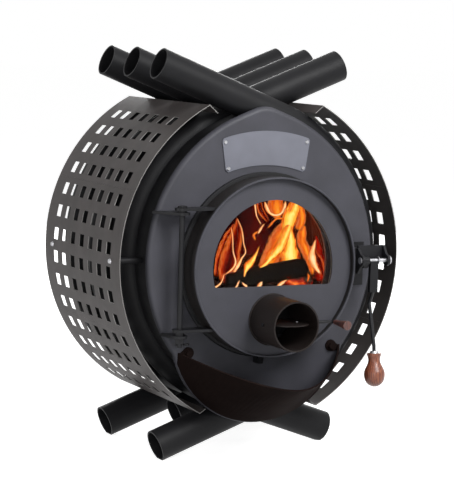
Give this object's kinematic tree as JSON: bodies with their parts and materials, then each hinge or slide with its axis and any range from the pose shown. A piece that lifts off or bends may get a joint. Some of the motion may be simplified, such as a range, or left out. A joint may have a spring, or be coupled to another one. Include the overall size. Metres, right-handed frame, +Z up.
{
  "type": "workshop stove",
  "caption": "Free-standing hot-air wood stove: crossed bent tubes round a drum firebox, a round glazed door with air intake and latch, and perforated side shrouds.",
  "frame": {"origin": "on the floor under the middle of the stove's bounding box", "axes": "+Z up, +Y from the door to the flue, +X to the right of someone who faces the door"},
  "size_m": [0.5912, 0.6392, 0.7658],
  "materials": {
    "tube_paint": "matt black heat-proof paint on steel tube",
    "plate_paint": "matt dark grey heat-proof paint on steel plate",
    "shroud_paint": "satin graphite powder coat on steel sheet",
    "apron_paint": "matt black heat-proof paint on sheet steel",
    "black_steel": "black hinge and latch steel",
    "bright_steel": "bare turned steel",
    "name_plate_metal": "bead-blasted light metal",
    "handle_wood": "oiled reddish turned wood",
    "knob_wood": "dark stained turned wood",
    "window": "clear heat-proof ceramic glass",
    "rope": "grey braided heat-proof rope",
    "gasket": "woven heat-proof tape"
  },
  "bodies": {
    "stove": {"warm_air_tube_1": "tube_paint", "warm_air_tube_2": "tube_paint", "warm_air_tube_3": "tube_paint", "warm_air_tube_4": "tube_paint", "warm_air_tube_5": "tube_paint", "warm_air_tube_6": "tube_paint", "left_wall_strips": "tube_paint", "right_wall_strips": "tube_paint", "back_plate": "tube_paint", "shroud_standoffs": "tube_paint", "flue_spigot": "tube_paint", "baffle_plate": "tube_paint", "air_injectors": "tube_paint", "front_plate": "plate_paint", "door_seat": "plate_paint", "left_shroud": "shroud_paint", "right_shroud": "shroud_paint", "ash_apron": "apron_paint", "door_rest": "black_steel", "apron_bolts": "black_steel", "hinge_plate_upper": "black_steel", "hinge_plate_lower": "black_steel", "hinge_pin": "black_steel", "hinge_spacers": "black_steel", "hinge_nut": "black_steel", "hinge_cotter": "black_steel", "latch_keeper": "black_steel", "name_plate_screws": "bright_steel", "shroud_screws": "bright_steel", "name_plate": "name_plate_metal"},
    "door": {"door_panel": "plate_paint", "door_rim": "plate_paint", "door_seal_ring": "tube_paint", "door_seal_rope": "rope", "window_glass": "window", "glass_gasket": "gasket", "glass_clips": "bright_steel", "clip_screws": "bright_steel", "air_intake": "tube_paint", "air_deflector": "tube_paint", "door_hinge_plate_upper": "black_steel", "door_hinge_plate_lower": "black_steel", "latch_bracket": "black_steel"},
    "latch": {"latch_spindle": "bright_steel", "latch_washers": "black_steel", "latch_lever": "black_steel", "latch_hook": "black_steel", "handle_ferrule": "bright_steel", "wooden_handle": "handle_wood"},
    "intake_damper": {"air_flap": "tube_paint", "air_flap_spindle": "black_steel", "air_flap_screws": "bright_steel", "air_damper_knob": "knob_wood"},
    "flue_damper": {"flue_flap": "tube_paint", "flue_flap_spindle": "black_steel", "flue_flap_screws": "bright_steel", "flue_damper_knob": "knob_wood"}
  },
  "joints": [
    {"name": "door_hinge", "type": "hinge", "parent": "stove", "child": "door", "pos_m": [-0.186, -0.1953, 0.36691], "axis": [0, 0, -1], "range_deg": [0, 120]},
    {"name": "latch_turn", "type": "hinge", "parent": "door", "child": "latch", "pos_m": [0.2004, -0.2263, 0.37621], "axis": [-1, 0, 0], "range_deg": [-8, 100]},
    {"name": "intake_flap_turn", "type": "hinge", "parent": "door", "child": "intake_damper", "pos_m": [0, -0.2573, 0.26881], "axis": [1, 0, 0], "range_deg": [0, 90]},
    {"name": "flue_flap_turn", "type": "hinge", "parent": "stove", "child": "flue_damper", "pos_m": [0, 0.2616, 0.55621], "axis": [1, 0, 0], "range_deg": [0, 90]}
  ]
}
